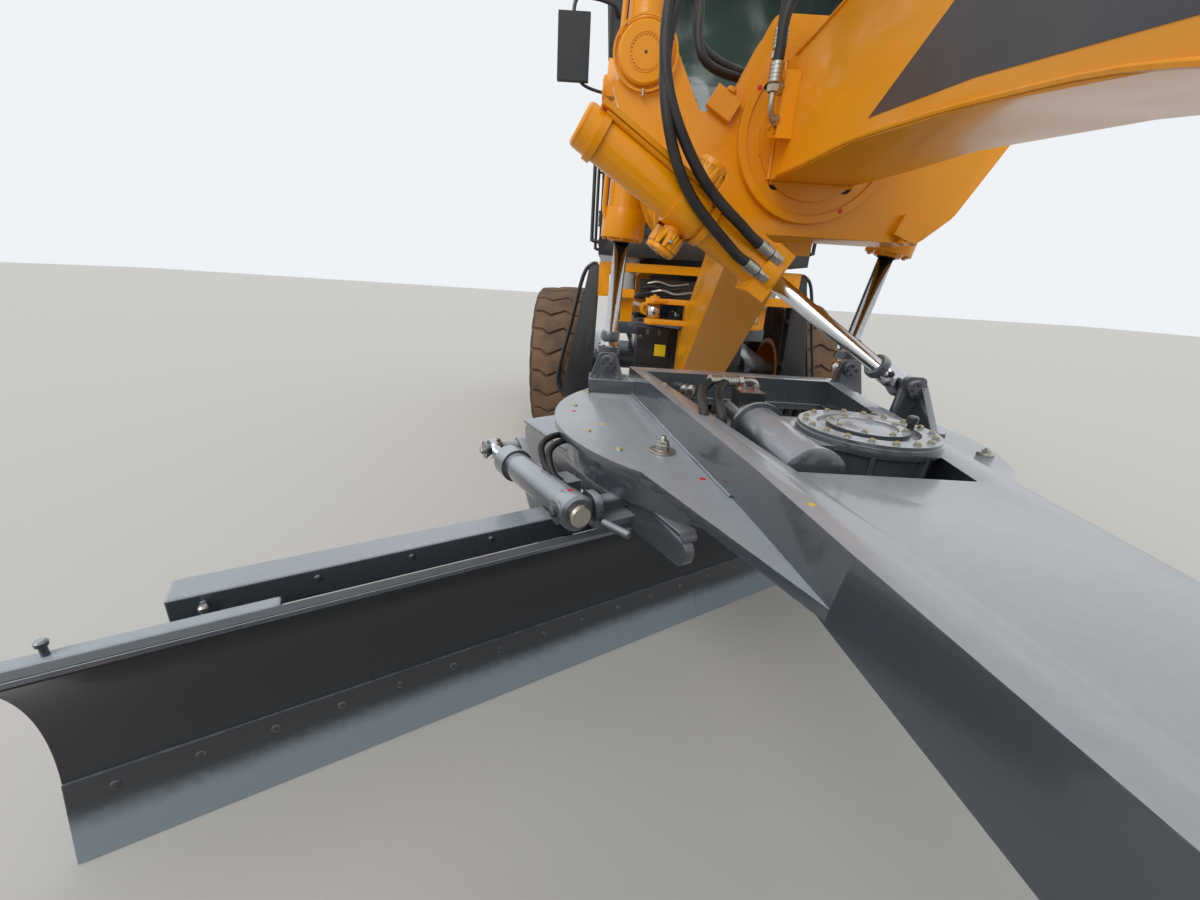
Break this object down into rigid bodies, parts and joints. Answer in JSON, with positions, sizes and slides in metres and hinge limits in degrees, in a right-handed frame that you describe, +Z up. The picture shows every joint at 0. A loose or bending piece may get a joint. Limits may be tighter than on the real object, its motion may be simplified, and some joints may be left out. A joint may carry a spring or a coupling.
{
  "type": "motor grader",
  "caption": "Articulated motor grader with a gooseneck front frame, a saddle with lift cylinders, a plate drawbar, a turning circle with its blade, a glazed cab and tandem rear wheels.",
  "frame": {"origin": "middle of the footprint, on the ground", "axes": "+Z up, -Y towards the nose, +X towards the machine's left side"},
  "size_m": [3.4694, 8.906, 3.34],
  "materials": {
    "yellow_paint": "gloss paint",
    "slate_paint": "satin paint",
    "black_paint": "satin paint",
    "chrome_rod": "polished",
    "tyre": "dusty rubber",
    "glass": "clear",
    "lamp": "clear",
    "seat": "woven"
  },
  "bodies": {
    "rear_body": {"rear_frame": "slate_paint", "cab_support": "yellow_paint", "rear_axle": "slate_paint", "engine_block": "slate_paint", "engine_hood": "yellow_paint", "exhaust_stack": "black_paint", "cab_shell": "black_paint", "cab_glass": "glass", "seat_cushion": "seat", "console": "slate_paint", "ladders": "black_paint", "rear_lamps": "lamp"},
    "door_body_left": {"door_left": "black_paint", "door_glass_left": "glass"},
    "door_body_right": {"door_right": "black_paint", "door_glass_right": "glass"},
    "front_body": {"front_frame": "yellow_paint", "head_lamps": "black_paint", "front_axle": "slate_paint", "saddle": "yellow_paint"},
    "knuckle_body_left": {"knuckle_left": "slate_paint"},
    "knuckle_body_right": {"knuckle_right": "slate_paint"},
    "tie_body": {"tie_rod": "slate_paint"},
    "steer_rod_body_left": {"steer_rod_left": "chrome_rod"},
    "steer_rod_body_right": {"steer_rod_right": "chrome_rod"},
    "wheel_front_left": {"tyre_front_left": "tyre", "rim_front_left": "yellow_paint"},
    "wheel_front_right": {"tyre_front_right": "tyre", "rim_front_right": "yellow_paint"},
    "wheel_middle_left": {"tyre_middle_left": "tyre", "rim_middle_left": "yellow_paint"},
    "wheel_middle_right": {"tyre_middle_right": "tyre", "rim_middle_right": "yellow_paint"},
    "wheel_rear_left": {"tyre_rear_left": "tyre", "rim_rear_left": "yellow_paint"},
    "wheel_rear_right": {"tyre_rear_right": "tyre", "rim_rear_right": "yellow_paint"},
    "hinge_barrel_body_left": {"hinge_barrel_left": "yellow_paint"},
    "hinge_rod_body_left": {"hinge_rod_left": "chrome_rod"},
    "lift_yoke_body_left": {"lift_yoke_left": "yellow_paint"},
    "lift_barrel_body_left": {"lift_barrel_left": "yellow_paint"},
    "lift_rod_body_left": {"lift_rod_left": "chrome_rod"},
    "hinge_barrel_body_right": {"hinge_barrel_right": "yellow_paint"},
    "hinge_rod_body_right": {"hinge_rod_right": "chrome_rod"},
    "lift_yoke_body_right": {"lift_yoke_right": "yellow_paint"},
    "lift_barrel_body_right": {"lift_barrel_right": "yellow_paint"},
    "lift_rod_body_right": {"lift_rod_right": "chrome_rod"},
    "swing_yoke_body": {"swing_yoke": "yellow_paint"},
    "swing_barrel_body": {"swing_barrel": "yellow_paint"},
    "swing_rod_body": {"swing_rod": "chrome_rod"},
    "ball_body": {"drawbar_ball": "slate_paint"},
    "drawbar_body": {"drawbar": "slate_paint", "circle_drive": "slate_paint"},
    "circle_body": {"circle": "slate_paint"},
    "tilt_body": {"tilt_frame": "slate_paint"},
    "blade_body": {"moldboard": "slate_paint"},
    "tip_barrel_body": {"tip_barrel": "slate_paint"},
    "tip_rod_body": {"tip_rod": "chrome_rod"}
  },
  "joints": [
    {"name": "articulation", "type": "hinge", "parent": "rear_body", "child": "front_body", "pos_m": [0.16605, 0.94, 0.93], "axis": [0, 0, -1], "range_deg": [-25, 25]},
    {"name": "hinge_cylinder_left", "type": "hinge", "parent": "rear_body", "child": "hinge_barrel_body_left", "pos_m": [0.56605, 1.7, 1.25], "axis": [0, 0, 1], "range_deg": [-3.73, 3.73]},
    {"name": "hinge_rod_left", "type": "slide", "parent": "hinge_barrel_body_left", "child": "hinge_rod_body_left", "axis": [-0.0651, -0.9979, 0], "range_m": [-0.1527, 0.1527]},
    {"name": "door_left", "type": "hinge", "parent": "rear_body", "child": "door_body_left", "pos_m": [0.93805, 1.924, 2.4], "axis": [0, 0, 1], "range_deg": [0, 80]},
    {"name": "roll_middle_left", "type": "hinge", "parent": "rear_body", "child": "wheel_middle_left", "pos_m": [1.24105, 1.97, 0.675], "axis": [1, 0, 0], "continuous": true},
    {"name": "roll_rear_left", "type": "hinge", "parent": "rear_body", "child": "wheel_rear_left", "pos_m": [1.24105, 3.51, 0.675], "axis": [1, 0, 0], "continuous": true},
    {"name": "roll_front_left", "type": "hinge", "parent": "knuckle_body_left", "child": "wheel_front_left", "pos_m": [1.24105, -3.54, 0.675], "axis": [1, 0, 0], "continuous": true},
    {"name": "hinge_cylinder_right", "type": "hinge", "parent": "rear_body", "child": "hinge_barrel_body_right", "pos_m": [-0.23395, 1.7, 1.25], "axis": [0, 0, 1], "range_deg": [-3.73, 3.73]},
    {"name": "hinge_rod_right", "type": "slide", "parent": "hinge_barrel_body_right", "child": "hinge_rod_body_right", "axis": [0.0651, -0.9979, 0], "range_m": [-0.1527, 0.1527]},
    {"name": "door_right", "type": "hinge", "parent": "rear_body", "child": "door_body_right", "pos_m": [-0.60595, 1.924, 2.4], "axis": [0, 0, -1], "range_deg": [0, 80]},
    {"name": "roll_middle_right", "type": "hinge", "parent": "rear_body", "child": "wheel_middle_right", "pos_m": [-0.90895, 1.97, 0.675], "axis": [1, 0, 0], "continuous": true},
    {"name": "roll_rear_right", "type": "hinge", "parent": "rear_body", "child": "wheel_rear_right", "pos_m": [-0.90895, 3.51, 0.675], "axis": [1, 0, 0], "continuous": true},
    {"name": "roll_front_right", "type": "hinge", "parent": "knuckle_body_right", "child": "wheel_front_right", "pos_m": [-0.90895, -3.54, 0.675], "axis": [1, 0, 0], "continuous": true},
    {"name": "steer_left", "type": "hinge", "parent": "front_body", "child": "knuckle_body_left", "pos_m": [0.96605, -3.54, 0.675], "axis": [0, 0, 1], "range_deg": [-40, 40]},
    {"name": "steer_right", "type": "hinge", "parent": "front_body", "child": "knuckle_body_right", "pos_m": [-0.63395, -3.54, 0.675], "axis": [0, 0, 1], "range_deg": [-40.2, 40.2]},
    {"name": "tie_rod_end", "type": "hinge", "parent": "knuckle_body_left", "child": "tie_body", "pos_m": [0.96605, -3.31, 0.527], "axis": [0, 0, 1], "range_deg": [-40.2, 40.2]},
    {"name": "steer_rod_left", "type": "slide", "parent": "front_body", "child": "steer_rod_body_left", "axis": [1, 0, 0], "range_m": [-0.1306, 0.1306]},
    {"name": "steer_rod_right", "type": "slide", "parent": "front_body", "child": "steer_rod_body_right", "axis": [-1, 0, 0], "range_m": [-0.1306, 0.1306]},
    {"name": "drawbar_lift", "type": "hinge", "parent": "front_body", "child": "ball_body", "pos_m": [0.16605, -3.06, 0.95], "axis": [1, 0, 0], "range_deg": [-8, 6.5]},
    {"name": "drawbar_swing", "type": "hinge", "parent": "ball_body", "child": "drawbar_body", "pos_m": [0.16605, -3.06, 0.95], "axis": [0, 0, 1], "range_deg": [-3, 9]},
    {"name": "lift_yoke_left", "type": "hinge", "parent": "front_body", "child": "lift_yoke_body_left", "pos_m": [0.75105, -0.44997, 2.09], "axis": [0, 1, 0], "range_deg": [-7.61, 22.42]},
    {"name": "lift_trunnion_left", "type": "hinge", "parent": "lift_yoke_body_left", "child": "lift_barrel_body_left", "pos_m": [0.75105, -0.44997, 2.09], "axis": [0.9885, 0, -0.1513], "range_deg": [-1.28, 3.44]},
    {"name": "lift_rod_left", "type": "slide", "parent": "lift_barrel_body_left", "child": "lift_rod_body_left", "axis": [-0.1512, 0.0403, -0.9877], "range_m": [-0.3038, 0.3734]},
    {"name": "lift_yoke_right", "type": "hinge", "parent": "front_body", "child": "lift_yoke_body_right", "pos_m": [-0.41895, -0.44997, 2.09], "axis": [0, 1, 0], "range_deg": [-7.54, 22.22]},
    {"name": "lift_trunnion_right", "type": "hinge", "parent": "lift_yoke_body_right", "child": "lift_barrel_body_right", "pos_m": [-0.41895, -0.44997, 2.09], "axis": [0.9984, 0, -0.057], "range_deg": [-5.96, 2.12]},
    {"name": "lift_rod_right", "type": "slide", "parent": "lift_barrel_body_right", "child": "lift_rod_body_right", "axis": [-0.057, 0.0393, -0.9976], "range_m": [-0.3038, 0.3734]},
    {"name": "swing_yoke", "type": "hinge", "parent": "front_body", "child": "swing_yoke_body", "pos_m": [-0.27395, -1.02497, 1.627], "axis": [0, 1, 0], "range_deg": [-11.92, 14.63]},
    {"name": "swing_trunnion", "type": "hinge", "parent": "swing_yoke_body", "child": "swing_barrel_body", "pos_m": [-0.27395, -1.02497, 1.627], "axis": [0.4925, 0, 0.8703], "range_deg": [-2.72, 7.76]},
    {"name": "swing_rod", "type": "slide", "parent": "swing_barrel_body", "child": "swing_rod_body", "axis": [0.8508, 0.2104, -0.4815], "range_m": [-0.2763, 0.0934]},
    {"name": "circle_turn", "type": "hinge", "parent": "drawbar_body", "child": "circle_body", "pos_m": [0.11545, -0.83055, 0.86], "axis": [0, 0, -1], "continuous": true},
    {"name": "blade_pitch", "type": "hinge", "parent": "circle_body", "child": "tilt_body", "pos_m": [-0.05942, -0.55069, 0.3], "axis": [0.848, 0.5299, 0], "range_deg": [-8, 15]},
    {"name": "tip_cylinder", "type": "hinge", "parent": "circle_body", "child": "tip_barrel_body", "pos_m": [-0.55558, -1.37956, 0.79], "axis": [0.848, 0.5299, 0], "range_deg": [-2.4, 4.33]},
    {"name": "tip_rod", "type": "slide", "parent": "tip_barrel_body", "child": "tip_rod_body", "axis": [-0.529, 0.8465, -0.0596], "range_m": [-0.1258, 0.068]},
    {"name": "blade_shift", "type": "slide", "parent": "tilt_body", "child": "blade_body", "axis": [0.848, 0.5299, 0], "range_m": [-0.5, 0.5]}
  ],
  "couplings": [
    {"joint": "hinge_cylinder_left", "follows": "articulation", "ratio": -0.14122},
    {"joint": "hinge_rod_left", "follows": "articulation", "m_per_rad": 0.3453},
    {"joint": "hinge_cylinder_right", "follows": "articulation", "ratio": -0.14122},
    {"joint": "hinge_rod_right", "follows": "articulation", "m_per_rad": -0.3453},
    {"joint": "steer_right", "follows": "steer_left", "ratio": 1},
    {"joint": "tie_rod_end", "follows": "steer_left", "ratio": -1},
    {"joint": "steer_rod_left", "follows": "steer_left", "m_per_rad": -0.18415},
    {"joint": "steer_rod_right", "follows": "steer_left", "m_per_rad": 0.18415},
    {"joint": "lift_yoke_left", "follows": "drawbar_swing", "ratio": 2.4689},
    {"joint": "lift_trunnion_left", "follows": "drawbar_swing", "ratio": 0.36},
    {"joint": "lift_rod_left", "follows": "drawbar_lift", "m_per_rad": -2.66},
    {"joint": "lift_yoke_right", "follows": "drawbar_swing", "ratio": 2.4462},
    {"joint": "lift_trunnion_right", "follows": "drawbar_swing", "ratio": -0.64},
    {"joint": "lift_rod_right", "follows": "drawbar_lift", "m_per_rad": -2.66},
    {"joint": "swing_yoke", "follows": "drawbar_lift", "ratio": -1.8033},
    {"joint": "swing_trunnion", "follows": "drawbar_swing", "ratio": 0.84056},
    {"joint": "swing_rod", "follows": "drawbar_swing", "m_per_rad": -1.7465},
    {"joint": "tip_cylinder", "follows": "blade_pitch", "ratio": 0.27563},
    {"joint": "tip_rod", "follows": "blade_pitch", "m_per_rad": -0.47289}
  ]
}
